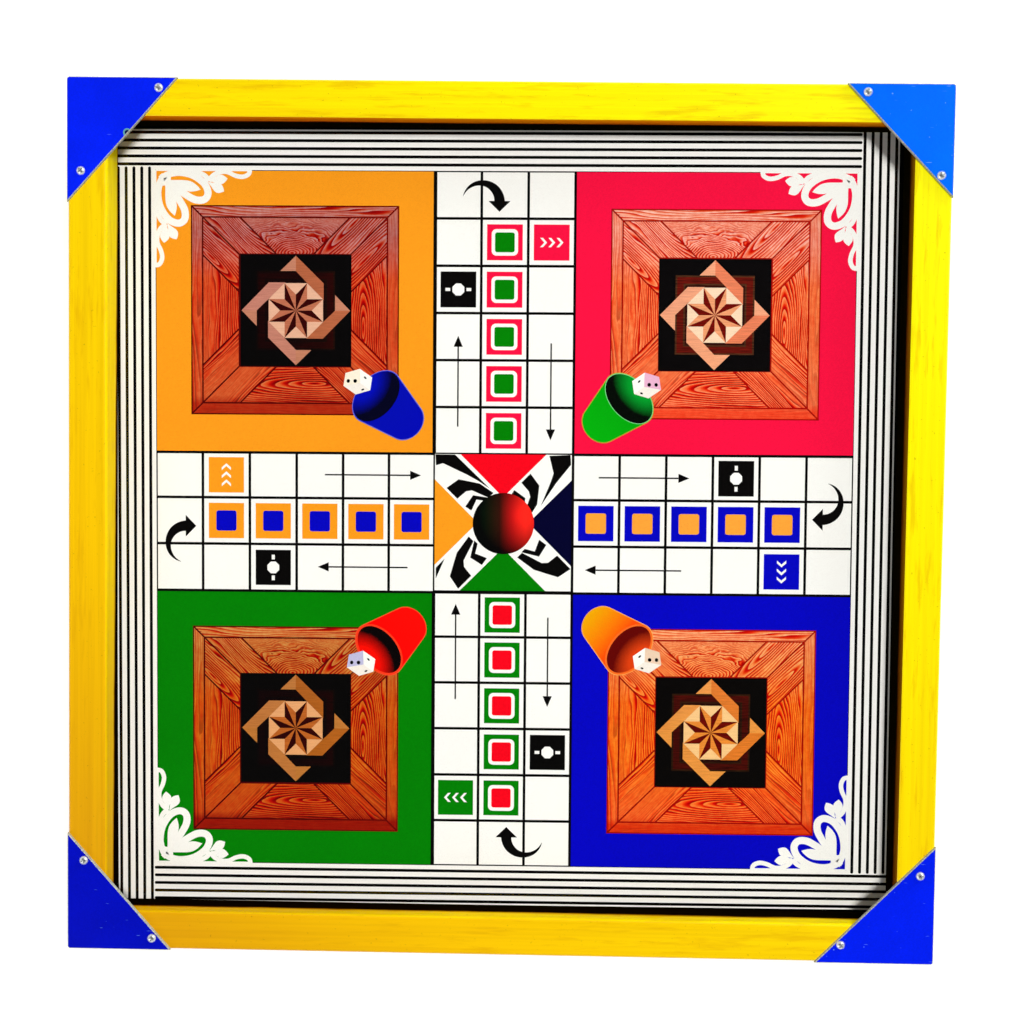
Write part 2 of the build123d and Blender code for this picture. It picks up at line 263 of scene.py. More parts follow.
def add_node(tree, kind, *inputs, stops=(), **named):
    """Adds a node. Its inputs come in the order of its sockets, or by a socket's name with
    underscores for spaces, and each takes a value, a socket or a node's first output. A string
    before them is its operation or blend type. Stops are a ramp's positions, from low to high, and
    colours."""
    node = tree.nodes.new("ShaderNode" + kind)
    if inputs and isinstance(inputs[0], str):
        mode, *inputs = inputs
        setattr(node, "blend_type" if kind == "MixRGB" else "operation", mode)
    for k, (position, colour) in enumerate(stops):
        elements = node.color_ramp.elements
        element = elements[k] if k < 2 else elements.new(position)
        element.position, element.color = position, colour
    for name, value in (*enumerate(inputs), *named.items()):
        socket = node.inputs[name.replace("_", " ") if isinstance(name, str) else name]
        if isinstance(value, bpy.types.Node):
            value = value.outputs[0]
        if isinstance(value, bpy.types.NodeSocket):
            tree.links.new(value, socket)
        else:
            socket.default_value = value
    return node


def begin(name, pattern="Object"):
    """A new material, the function that adds nodes to it, and the place that its pattern reads."""
    material = bpy.data.materials.new(name)
    material.use_nodes = True
    material.node_tree.nodes.clear()
    add = partial(add_node, material.node_tree)
    return material, add, add("TexCoord").outputs[pattern]


def stretched(add, place, sizes, detail, roughness=0.5, turned=0.0, distortion=0.0):
    """Noise of marks that have a size in millimetres along each axis, turned about z."""
    scale = [per(size) for size in sizes]
    marks = add("Mapping", Vector=place, Rotation=(0, 0, turned), Scale=scale)
    return add("TexNoise", Vector=marks, Scale=1.0, Detail=detail, Roughness=roughness, Distortion=distortion)


def end_print(add, colour):
    """Gives the print its surface, which is matt all over under the glass."""
    add("OutputMaterial", add("BsdfPrincipled", Base_Color=colour, Roughness=0.5, Specular_IOR_Level=0.05))


def grey(value):
    """A colour without a hue, as linear values."""
    return (value, value, value, 1)


BLACK, WHITE = grey(0), grey(1)


def offset_ink(name, code, variation=0.10):
    """Offset ink on coated card: an even colour, finely mottled where it took unevenly. The mottle
    is drawn at 1.2 mm, a few times its real size, so that it shows."""
    material, add, place = begin(name)
    fine = add("TexNoise", Vector=place, Scale=per(1.2), Detail=2.0)
    broad = add("TexNoise", Vector=place, Scale=per(90), Detail=1.0)
    both = add("Math", "MULTIPLY", fine, 0.6)
    both = add("Math", "MULTIPLY_ADD", broad, 0.4, both)
    end_print(add, add("ValToRGB", both, stops=[
        (0.38, linear(code, 1 - variation)), (0.62, linear(code, 1 + variation))]))
    return material


def painted_falloff(add, left, front):
    """Painted light falloff over the print: the wood colours are multiplied by one colour at the left and by
    another at the front, and by less between, so that they are darker to the left and warmer to the front,
    where the light was weaker."""
    parts = add("SeparateXYZ", add("TexCoord").outputs["Object"]).outputs
    ways = [add("Math", "MULTIPLY_ADD", parts[axis], per(300), 0.5) for axis in "XY"]
    left, front = (add("ValToRGB", way, stops=[(0.0, (*colour, 1)), (1.0, WHITE)])
                   for way, colour in zip(ways, (left, front)))
    return add("MixRGB", "MULTIPLY", 1.0, left, front)


def veneer_print(name, code, vein=0.16, left=(0.55, 0.56, 0.50), front=(0.92, 0.90, 0.2)):
    """A printed picture of straight-grained veneer: fine streaks along the pattern's length."""
    material, add, place = begin(name, "UV")
    streak = stretched(add, place, (14, 0.8, 14), 3.0, 0.6)
    tone = add("ValToRGB", streak, stops=[
        (0.32, linear(code, 1 - 2 * vein)), (0.68, linear(code, 1 + vein))])
    # the veneer darkened to the left and warmed to the front: painted light falloff
    end_print(add, add("MixRGB", "MULTIPLY", 1.0, tone, painted_falloff(add, left, front)))
    return material


def oak_print(name, middle, depth, tones):
    """A printed picture of flat-sawn oak. The pattern's length is its distance from the plank's
    heart, counted in growth rings. The rings wander and close round the heart, dark in some places
    and faint in others by a depth, deepest at the foot, and fade far from it, under short pores and
    soft blotches. The tones are the wood's from the foot of the parquet to its head."""
    material, add, place = begin(name, "UV")
    world = add("TexCoord").outputs["Object"]
    wander = add("TexNoise", Vector=place, Scale=0.20, Detail=2.5, Roughness=0.5)
    away = add("VectorMath", "LENGTH", place).outputs["Value"]
    near = add("Math", "MULTIPLY", away, 1 / 7.5)
    near = add("Math", "MINIMUM", near, 1.0)
    wander = add("Math", "MULTIPLY", wander, near)
    phase = add("Math", "MULTIPLY_ADD", wander, 9.0, away)
    saw = add("Math", "FRACT", phase)
    ring = add("ValToRGB", saw, stops=[
        (0.0, (0.66, 0.015, 0.001, 1)), (0.18, (0.74, 0.03, 0.004, 1)), (0.34, (0.90, 0.20, 0.07, 1)),
        (0.54, (0.98, 0.66, 0.50, 1)), (0.92, WHITE), (1.0, (0.66, 0.015, 0.001, 1))])
    height = add("SeparateXYZ", world).outputs["Y"]
    height = add("Math", "MULTIPLY_ADD", height, per(2 * parquet_half), 0.5 - middle / (2 * parquet_half))
    deep = add("TexNoise", Vector=place, Scale=0.33, Detail=1.0)
    deep = add("Math", "MULTIPLY_ADD", deep, 4.5 * depth, -1.3 * depth)
    more = add("Math", "MULTIPLY_ADD", height, -1.5, 2.4)
    deep = add("Math", "MULTIPLY", deep, more)
    deep = add("Math", "MAXIMUM", deep, 0.4)
    ring = add("Gamma", Color=ring, Gamma=deep)
    fade = add("Math", "MULTIPLY", away, 1 / 40)
    fade = add("ValToRGB", fade, stops=[(0.20, WHITE), (0.32, grey(0.2))])
    ring = add("MixRGB", fade, (0.93, 0.58, 0.45, 1), ring)
    pore = add("Mapping", Vector=place, Scale=(2.4, 3.4, 1.0))
    pore = add("TexNoise", Vector=pore, Scale=1.0, Detail=3.0, Roughness=0.7)
    pore = add("ValToRGB", pore, stops=[(0.36, (0.93, 0.50, 0.38, 1)), (0.56, WHITE)])
    blotch = add("TexNoise", Vector=world, Scale=per(3.5), Detail=3.0)
    blotch = add("ValToRGB", blotch, stops=[(0.36, (0.95, 0.66, 0.58, 1)), (0.62, WHITE)])
    grain = add("MixRGB", "MULTIPLY", 0.8, ring, pore)
    grain = add("MixRGB", "MULTIPLY", 0.8, grain, blotch)
    foot, lower, body, upper, head = (linear(code) for code in tones)
    wood = add("ValToRGB", height, stops=[
        (0.04, foot), (0.08, lower), (0.36, body), (0.64, body), (0.86, upper), (0.97, head)])
    end_print(add, add("MixRGB", "MULTIPLY", 1.0, wood, grain))
    return material


def shaded_ink(name, stops, radial=False, reach=1.0):
    """Ink in an airbrushed gradient: it follows the pattern's length, or its distance from the
    pattern's middle, up to a reach."""
    material, add, place = begin(name, "UV")
    way = add("SeparateXYZ", place).outputs["X"]
    if radial:
        way = add("VectorMath", "LENGTH", place).outputs["Value"]
    grit = add("TexNoise", Vector=add("TexCoord").outputs["Object"], Scale=per(1.2))
    grit = add("Math", "SUBTRACT", grit, 0.5)
    way = add("Math", "MULTIPLY_ADD", grit, 0.12, way)
    way = add("Math", "MULTIPLY", way, 1 / reach)
    end_print(add, add("ValToRGB", way, stops=[(at, linear(code)) for at, code in stops]))
    return material


white_card = offset_ink("coated_white_card", "#FEFAF4", variation=0.02)
(black_ink, white_ink, orange_ink, crimson_ink, green_ink, blue_ink, navy_ink, red_ink,
 pale_orange_ink) = (offset_ink(f"offset_ink_{name}", *look) for name, *look in (
     ("black", "#030201", 0.3), ("paper_white", "#FEFBF4", 0.02), ("orange", "#FF9E1C", 0.05),
     ("crimson", "#FC1042", 0.05), ("green", "#008000", 0.08), ("blue", "#0202C0", 0.08),
     ("navy", "#00002A"), ("red", "#FD041C"), ("pale_orange", "#FFA63A", 0.05)))

# Card under the print
card = mesh_piece("print_card", *slab(square(0, 0, 2 * sheet_half), card_low, card_top), white_card,
                  "board", "print")
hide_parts("printed_sheet")

# Stripes, each side's running past the play at one end and under the frame at the other
offsets = stripe_first + stripe_pitch * np.arange(5)
round_end = stripe / 2 - 0.01  # a hair less than half, so that no two points meet
stripes = [turn(rectangle(-under_frame, play + off - stripe / 2, play + stripe_past, play + off + stripe / 2,
                          round_end), quarter)
           for off in offsets for quarter in range(4)]
# black bands from there out under the frame: painted shadow at the foot of the walls, in the stripes' ink
painted_shadow_bands = [turn(rectangle(-under_frame, play + shadow_band_from, under_frame, under_frame), quarter)
           for quarter in range(4)]
ink("stripes", black_ink, stripes + painted_shadow_bands, 1)


# Squares of play
def cell(column, row):
    """The middle of a square, counted from the left and from the front."""
    return (columns[column] + columns[column + 1]) / 2, (rows[row] + rows[row + 1]) / 2


ink("grid", black_ink, [rectangle(-play, -play, play, play)], 1)
in_lane = [(c, r) for c in range(15) for r in range(15) if (5 < c < 9) != (5 < r < 9)]
ink("squares", white_ink, [rectangle(
    columns[c] + line / 2, rows[r] + line / 2, columns[c + 1] - line / 2, rows[r + 1] - line / 2)
    for c, r in in_lane], 2)

lane = columns[9]
quadrants = {"back_left": (-1, 1), "back_right": (1, 1), "front_left": (-1, -1), "front_right": (1, -1)}
for (home, (x, y)), colour in zip(quadrants.items(), (orange_ink, crimson_ink, green_ink, blue_ink)):
    start = lane_rows[3] if y > 0 else -lane_rows[0]
    outline = rectangle(x * (lane + line / 2), y * (start + line / 2),
                        x * (play - play_edge), y * (play - play_edge))
    ink(f"home_{home}", colour, [outline], 2)

home_lanes = {  # each arm's outer and inner colours, its five squares and its starting square
    "back": (crimson_ink, green_ink, [(7, r) for r in range(9, 14)], (8, 13)),
    "right": (blue_ink, pale_orange_ink, [(c, 7) for c in range(9, 14)], (13, 6)),
    "front": (green_ink, red_ink, [(7, r) for r in range(1, 6)], (6, 1)),
    "left": (orange_ink, blue_ink, [(c, 7) for c in range(1, 6)], (1, 8)),
}
tile, ring, ring_corner = 25.4, 18.8, 3.4  # sides of a coloured square and its ring, and a corner's radius
core, wide_core, core_corner = 14.0, 14.6, 1.6
for arm, (outer, middle, cells, start) in home_lanes.items():
    ringed = arm in ("back", "front")
    ink(f"lane_{arm}", outer, [square(*cell(*c), tile) for c in cells + [start]], 3)
    ink(f"lane_{arm}_ring", white_ink if ringed else outer,
        [square(*cell(*c), ring, ring_corner) for c in cells], 4)
    ink(f"lane_{arm}_middle", middle,
        [square(*cell(*c), core if ringed else wide_core, core_corner) for c in cells], 5)

# Marks on the starting and stopping squares, and arrows that show the way round
lane_drop = (lane_rows[1] + lane_rows[2]) / 2


def around(outline):
    """A shape of the back arm on all four, the side arms' copies lowered to their own lane."""
    return [move(turn(outline, quarter), 0, lane_drop * (quarter % 2)) for quarter in range(4)]


def arrow(x, tail, tip, shaft=1.05, barb=6.6, head=7.8):
    """A straight arrow up or down a lane: the widths of its shaft and head, and the head's length."""
    neck = tip - np.sign(tip - tail) * head
    return np.array([(x - shaft / 2, tail), (x + shaft / 2, tail), (x + shaft / 2, neck),
                     (x + barb / 2, neck), (x, tip), (x - barb / 2, neck), (x - shaft / 2, neck)])


def bent_arrow():
    """A half circle that grows from a point to a broad shaft, with a head at its end."""
    t = np.radians(np.linspace(163, -2, 28))
    shaft = stroke(move(arc(t, 13.2, 13.0), -17.2, 228.3), (0.2, 2.4, 4.2, 6.4, 7.6))
    return shaft, [(-11.8, 228.6), (-4.0, 221.0), (3.8, 228.6)]


starts = [home_lanes[arm][3] for arm in ("back", "right", "front", "left")]
ends = [(6, 12), (12, 8), (8, 2), (2, 6)]
ink("stop_squares", black_ink, [square(*cell(*c), tile) for c in ends], 3)
chevron = [(0, -3.3), (2.0, -3.3), (4.9, 0), (2.0, 3.3), (0, 3.3), (2.9, 0)]
octagon = turn(ellipse(0, 0, 4.6, 4.6, steps=8), 0.25)
start_mark = [move(chevron, x, 0) for x in (-8.2, -2.4, 3.4)]
stop_mark = [octagon, rectangle(-9.2, -1.1, -5.8, 1.1), rectangle(5.8, -1.1, 9.2, 1.1)]
marks = [move(turn(outline, quarter), *cell(*place))
         for places, mark in ((starts, start_mark), (ends, stop_mark))
         for quarter, place in enumerate(places) for outline in mark]
ink("marks", white_ink, marks, 4)
arrows = (arrow(columns[6] + 16.4, 68.4, 133.1), arrow(columns[8] + 16.9, 128.1, 59.0), *bent_arrow())
ink("arrows", black_ink, [outline for part in arrows for outline in around(part)], 3)

# Middle square: four triangles, bent bars on the diagonals between them, and a ball
middle_half = lane - line / 2
triangle_half = 30.7
triangle = [(-triangle_half, middle_half), (triangle_half, middle_half), (0, middle_half - triangle_half)]
ink("middle", white_ink, [square(0, lane_drop, 2 * middle_half)], 2)
for quarter, (side, colour) in enumerate((
        ("back", red_ink), ("right", navy_ink), ("front", green_ink), ("left", orange_ink))):
    ink(f"middle_{side}", colour, [move(turn(triangle, quarter), 0, lane_drop)], 4)
blades = (  # bent bars with a blunt and a pointed arm, and how far out each lies on the four diagonals
    ([(46.2, 11.2), (44.5, 0.7), (38, -3.7), (31.7, -7.9), (20, -10.2), (20, -5.4), (32.2, -0.5),
      (34.6, 3.0), (35.3, 11.2)], (1.25, 1.22, 1.0, 0.84)),
    ([(27.2, 11.0), (29.1, 1.4), (20, -5.4), (20, -2.0), (25.2, 1.8), (22.1, 10.0)],
     (1.22, 1.18, 1.0, 0.82)))
wedges = (  # black wedges beside the bars, towards the corners, and each one's diagonal
    ([(57.2, -10.8), (48.0, -11.0), (62.7, -5.3)], 1),
    ([(68.9, 0), (58.9, -9.9), (24.0, -10.6), (34.4, -8.4), (43.3, -5.7), (60.6, 0.6), (63.1, 5.2)], 2),
    ([(57.4, 10.8), (68.6, 0.6), (64.0, -4.6), (47.0, -6.5), (28.0, -10.4), (45.3, -3.1), (50.8, -0.2)], 3))
bars = [(outline * np.array([far[quarter], 1]), quarter) for outline, far in blades for quarter in range(4)]
ink("middle_bars", black_ink, [move(turn(outline, quarter + 0.5), 0, lane_drop)
                                     for outline, quarter in bars + list(wedges)], 3)


def ball_ink():
    """An airbrushed ball: dark green at the left turns to red at the right, and both darken
    towards the rim and the foot."""
    material, add, place = begin("airbrushed_ball_print", "UV")
    along = add("SeparateXYZ", place).outputs["X"]
    hue = add("ValToRGB", along, stops=[
        (0.18, linear("#082A0C")), (0.44, linear("#3C1408")), (0.64, linear("#B81414")),
        (0.86, linear("#FF2A20"))])
    lit = add("VectorMath", "DISTANCE", place, (0.74, 0.64, 0)).outputs["Value"]
    shade = add("ValToRGB", lit, stops=[
        (0.05, (1.3, 1.1, 1.0, 1)), (0.30, (0.8, 0.7, 0.65, 1)), (0.64, grey(0.02))])
    end_print(add, add("MixRGB", "MULTIPLY", 1.0, hue, shade))
    return material


x, y, radius = 0.3, -0.9, 22.0
unit = 0.5 / radius  # the pattern runs from 0 to 1 over the ball
ink("ball", ball_ink(), [
    (ellipse(x, y, radius, radius, steps=96), ((unit, 0, 0.5 - x * unit), (0, unit, 0.5 - y * unit)))], 5)


# White scrollwork in the outer corner of each home
def scrollwork():
    """Half an ornament, from its corner along one edge: a looped leaf with a solid leaf inside it,
    a band back to the edge, a two-lobed bud and a tendril that curls along the edge."""
    loop = smooth([(3.2, 6.4), (8.5, 3.2), (16.0, 1.6), (24.5, 2.8), (31.2, 6.2), (35.8, 10.8),
                   (37.4, 16.6), (34.6, 20.6), (28.6, 20.8), (21.8, 17.4), (15.4, 13.0), (9.4, 9.6),
                   (5.0, 7.6)])
    blade = leaf((5.5, 6.0), (32.2, 13.6), 3.7, fullness=1.7)
    rib = smooth([(9.0, 0.6), (20.0, 0.4), (28.5, 1.0), (34.8, 3.4), (38.2, 7.4)])
    upper = leaf((36.0, 7.6), (51.4, 5.8), 3.4, fullness=1.8)
    lower = leaf((36.0, 7.4), (48.9, 14.9), 3.4, fullness=1.8)
    tendril = smooth([(38.0, 7.4), (41.5, 3.2), (46.5, 1.2), (51.5, 1.2), (57.0, 3.6), (62.2, 4.4),
                      (66.4, 2.6), (67.4, -0.6)])
    return [stroke(loop, (4.6, 5.0, 5.2, 4.6)), blade, stroke(rib, (2.0, 2.6, 3.2, 3.8)), upper, lower,
            stroke(tendril, (3.6, 3.0, 3.2, 3.2)), rectangle(0, -1.2, 68, 0.5)]


knot = np.array([(3.1, 3.1), (11.6, 0.2), (10.2, 10.2), (0.2, 11.6)])
half_scroll = scrollwork()
whole_scroll = [knot] + half_scroll + [outline[:, ::-1] for outline in half_scroll]
scroll_corner = play - 0.3
ink("scrollwork", white_ink, [
    (scroll_corner - outline) * (x, y) for x, y in quadrants.values() for outline in whole_scroll], 4)

# Parquet squares, each plank with its own grain
# its last two colours are the painted light falloff at the left and at the front
joint_ink = veneer_print("offset_ink_plank_joint", "#B00800", 0.1, (0.22, 0.1, 0.1), (0.85, 1.0, 0.2))
figures = [  # a plank's heart from the middle of the square, the length of its rings over their
    # width, and the distance between two: border, board and both diagonal planks of each quarter
    [((10, 86), 11, 2.3), ((-2, 41.0), 1.9, 2.0), ((42, 62), 7, 2.6), ((50, 36), 8, 2.6)],
    [((106, 30), 11, 2.8), ((49, -12), 6, 2.2), ((76, -36), 10, 2.2), ((36, -66), 9, 1.9)],
    [((0, -104), 9, 2.4), ((14, -52), 6, 2.4), ((-40, -86), 10, 1.8), ((-84, -40), 8, 1.9)],
    [((-100, -30), 9, 2.8), ((-36, 8), 7, 2.3), ((-60, 38), 6, 2.3), ((-38, 66), 6, 2.0)],
]


def grained(outline, degrees, heart, stretch, spacing):
    """An outline with the map that lays the pattern's length along its grain, in rings about the
    plank's heart."""
    turned = np.radians(degrees)
    along = np.array([np.cos(turned), np.sin(turned)]) / (stretch * spacing)
    across = np.array([-np.sin(turned), np.cos(turned)]) / spacing
    return outline, ((*along, -along @ heart), (*across, -across @ heart))


def parquet(x, y):
    """The planks of one parquet square: a mitred border, a broad board on each side of the
    medallion, and two planks along each diagonal between them."""
    p, f, b = parquet_half, parquet_half - parquet_border, medallion_half
    cut = plank * np.sqrt(2)
    border = [(-p, p), (p, p), (f, f), (-f, f)]
    board = [(cut - f, f), (f - cut, f), (b - cut, b), (cut - b, b)]
    first = np.array([(f, f), (f - cut, f), (b - cut, b), (b, b)])
    second = first[:, ::-1]
    planks = []
    for quarter, row in enumerate(figures):
        for outline, grain, (heart, *figure) in zip((border, board, first, second), (0, 0, 45, 45), row):
            piece = move(inset(turn(outline, quarter), parquet_joint / 2), x, y)
            planks.append(grained(piece, grain - 90 * quarter, np.add(heart, (x, y)), *figure))
    return planks


oak_tones = {  # how dark the rings are, and the wood from the foot of each parquet to its head; the left and front homes' tones are darker, a painted light falloff
    "back_left": (1.7, ("#BC4420", "#E08850", "#E27440", "#BE949C", "#CCA09E")),
    "back_right": (1.1, ("#FF7048", "#FFA878", "#FFA468", "#FCC8BC", "#FFD4C4")),
    "front_left": (1.7, ("#A02408", "#D06C22", "#D8801E", "#CCA050", "#DCAC64")),
    "front_right": (1.1, ("#E8541A", "#FF9244", "#FFA02C", "#FABE76", "#FFC690")),
}
beds = [square(*place, 2 * (parquet_half + parquet_rim)) for place, _ in homes.values()]
ink("parquet_joints", joint_ink, beds, 3)
for home, (place, _) in homes.items():
    oak = oak_print(f"flat_sawn_oak_print_{home}", place[1], *oak_tones[home])
    ink(f"parquet_{home}", oak, parquet(*place), 4)

# Medallions: a ribbon that turns round an eight-pointed star, in light and dark veneers
# each veneer's colour, its vein, and the colours of its painted light falloff at the left and at the front
woods = {wood: veneer_print(f"{wood}_veneer_print", *look) for wood, *look in (
    ("ebony", "#040202"), ("wenge", "#6E1408", 0.35, (0.07, 0.02, 0.02), (0.40, 0.4, 0.3)),
    ("wenge_heart", "#340C04", 0.3, (0.2, 0.1, 0.1), (0.5, 0.5, 0.3)),
    ("wenge_sapwood", "#56301A", 0.4, (0.05, 0.02, 0.02), (0.3, 0.3, 0.2)),
    ("sycamore", "#FFDCBA", 0.05, (0.84, 0.64, 0.62), (0.99, 0.83, 0.5)),
    ("pear", "#EE845C", 0.10), ("pale_pear", "#FCA880", 0.10, (0.62, 0.58, 0.75), (0.92, 0.82, 0.25)),
    ("cherry", "#FAAA82", 0.08, (0.60, 0.56, 0.6), (0.92, 0.82, 0.25)),
    ("plane", "#FFA472", 0.14, (0.60, 0.45, 0.5), (0.95, 0.75, 0.2)),
    ("walnut", "#760A02", 0.25, (0.2, 0.1, 0.1), (0.8, 0.8, 0.3)))}

star_r, notch_r = 0.53, 0.286  # of half the medallion
tips = arc(np.radians(22.5 + 45 * np.arange(8)), star_r, star_r)
notches = arc(np.radians(45 * np.arange(8)), notch_r, notch_r)
light_halves = [np.array([(0, 0), notches[k], tips[k]]) for k in range(8)]
dark_halves = [np.array([(0, 0), tips[k], notches[(k + 1) % 8]]) for k in range(8)]
ribbon = [(0, 0.978), (0.50, 0.487), (0.50, 0.183), (0, 0.705)]
ribbon_end = [(-0.28, 0.705), (0, 0.978), (0, 0.705)]
medallion = [
    ("field", "ebony", [square(0, 0, 2)], 5), ("frame_rim", "wenge_sapwood", [square(0, 0, 1.41)], 6),
    ("frame", "wenge", [square(0, 0, 1.35)], 7), ("inner_rim", "wenge_sapwood", [square(0, 0, 1.12)], 7.5),
    ("inner_field", "wenge_heart", [square(0, 0, 1.06)], 8),
    ("ribbon", "pear", [turn(ribbon, q) for q in (0, 1)], 8.5),
    ("ribbon_pale", "pale_pear", [turn(ribbon, q) for q in (2, 3)], 8.5),
    ("ribbon_ends", "cherry", [turn(ribbon_end, q) for q in range(4)], 8.5),
    ("octagon", "sycamore", [tips], 9.5),
    ("star_light", "plane", light_halves, 10.5), ("star_dark", "walnut", dark_halves, 10.5)]
for name, wood, outlines, level in medallion:
    shapes = [(move(outline * medallion_half, *place), ((MM, 0, 0.1 * k), (0, MM, 0.1 * k)))
              for _, place in homes.values() for k, outline in enumerate(outlines)]
    ink(f"medallion_{name}", woods[wood], shapes, level)

# Dice cups drawn at the inner corner of each parquet square: a tapered body seen past its open
# mouth, with a die rolling out
mouth_far, mouth_near = 21.0, 13.6  # half the mouth across the cup and along it
foot_far, foot_near = 14.0, 12.0
cup_length = 27.0
die_across, die_up = 11.2, 9.3  # from the die's middle to its corners
near_corner = (-1.9, -0.6)  # of the die, where its three faces meet
cups = {  # middle of the mouth, the way from mouth to foot in degrees, and the middle of the die
    "back_left": ((-91.1, 89.5), -40, (-104.6, 100.0)),
    "back_right": ((89.4, 89.1), -138, (101.8, 98.6)),
    "front_left": ((-88.6, -92.6), 40, (-101.7, -102.7)),
    "front_right": ((91.2, -90.8), 140, (104.4, -98.7)),
}
cup_inks = {  # body at the foot and at the mouth, lit and dark inside, rim and its width, outline, die
    "back_left": ("#0006B4", "#000AB0", "#000AB4", "#00001C", "#0006B4", 0.5, "#6A70D0", "#FBEFD8"),
    "back_right": ("#00B208", "#00A808", "#009A2A", "#000500", "#7CDC8C", 0.5, "#B8A030", "#EDB6D0"),
    "front_left": ("#FF0802", "#FF0400", "#FA0A00", "#040000", "#FF3A1A", 1.4, "#FF5028", "#C4C0DE"),
    "front_right": ("#F2AE00", "#FF5004", "#E0400C", "#640300", "#FF6C20", 1.4, "#FFA850", "#EED0B4"),
}


def hull(points):
    """The tight outline round points: those furthest out in each of 180 directions, in order."""
    t = np.linspace(0, 2 * np.pi, 180, endpoint=False)
    reach = points @ np.array([np.cos(t), np.sin(t)])
    order = reach.argmax(axis=0)
    keep = np.concatenate([[True], order[1:] != order[:-1]])
    return points[order[keep]]


def cup_map(mouth, degrees, low, high, wide):
    """The affine map whose pattern length runs from 0 at low to 1 at high along the cup, and
    across it by 1 for each width."""
    c, s = np.cos(np.radians(degrees)), np.sin(np.radians(degrees))
    k = 1 / (high - low)
    along = (c * k, s * k, -(c * mouth[0] + s * mouth[1]) * k - low * k)
    return along, (-s / wide, c / wide, (s * mouth[0] - c * mouth[1]) / wide)


hexagon = arc(np.radians(90 + 60 * np.arange(6)), die_across, die_up)
die_faces = [np.array([near_corner, hexagon[k], hexagon[k + 1], hexagon[(k + 2) % 6]]) for k in (0, 2, 4)]
bone = offset_ink("offset_ink_die_white", "#FFFBF2", variation=0.02)
bone_side = offset_ink("offset_ink_die_shade", "#F6EDE0", variation=0.03)
for home, (mouth, degrees, die) in cups.items():
    x, y = quadrants[home]
    foot_code, body, lit, deep, rim_code, rim_width, outline_code, tint = cup_inks[home]
    # Drawn about the mouth, with the foot along x
    mouth_edge = ellipse(0, 0, mouth_near, mouth_far)
    foot_edge = ellipse(cup_length, 0, foot_near, foot_far)
    body_edge = hull(np.vstack([mouth_edge, foot_edge]))
    halo = hull(np.vstack([mouth_edge * 1.03, foot_edge * (1.0, 1.04) + (0.5, 0)]))
    hollow = ellipse(0, 0, mouth_near - rim_width, mouth_far - rim_width)
    body_map = cup_map(mouth, degrees, -mouth_near, cup_length + foot_near, 40)
    hollow_map = cup_map(mouth, degrees, -13.0, 3.5, 22)
    for level, part, material, outline, pattern in (
            (11, "edge", offset_ink(f"offset_ink_cup_edge_{home}", outline_code), halo, None),
            (12, "body", shaded_ink(f"airbrushed_cup_print_{home}", [(0.45, body), (1.0, foot_code)]),
             body_edge, body_map),
            (13, "rim", offset_ink(f"offset_ink_cup_rim_{home}", rim_code), mouth_edge, None),
            (14, "hollow", shaded_ink(f"airbrushed_mouth_print_{home}", [
                (0.38, lit), (0.82, deep)], radial=True, reach=1.35), hollow, hollow_map)):
        placed = move(turn(outline, -degrees / 90), *mouth)
        ink(f"cup_{home}_{part}", material, [(placed, pattern) if pattern else placed], level)
    tinted = offset_ink(f"offset_ink_die_tint_{home}", tint, variation=0.03)
    tilt = -0.1 * x
    for face, shade, outline in zip(("top", "front", "side"), (bone, bone_side, tinted), die_faces):
        ink(f"die_{home}_{face}", shade, [move(turn(outline * (x, 1), tilt), *die)], 15)
    pips = [ellipse(1.9, 0.2, 1.3, 1.35), ellipse(6.8, -0.6, 1.2, 1.35), ellipse(-4.8, 3.6, 1.2, 0.6, 35),
            ellipse(-4.4, -5.0, 1.1, 0.6, -30)]
    ink(f"die_{home}_pips", black_ink, [move(turn(pip * (x, 1), tilt), *die) for pip in pips], 16)


# Materials of the box itself
def from_middle(add, place):
    """How far out a point lies towards its nearest side, and its coordinates."""
    parts = add("SeparateXYZ", place).outputs
    return add("Math", "MAXIMUM", *(add("Math", "ABSOLUTE", parts[axis]) for axis in "XY")), parts


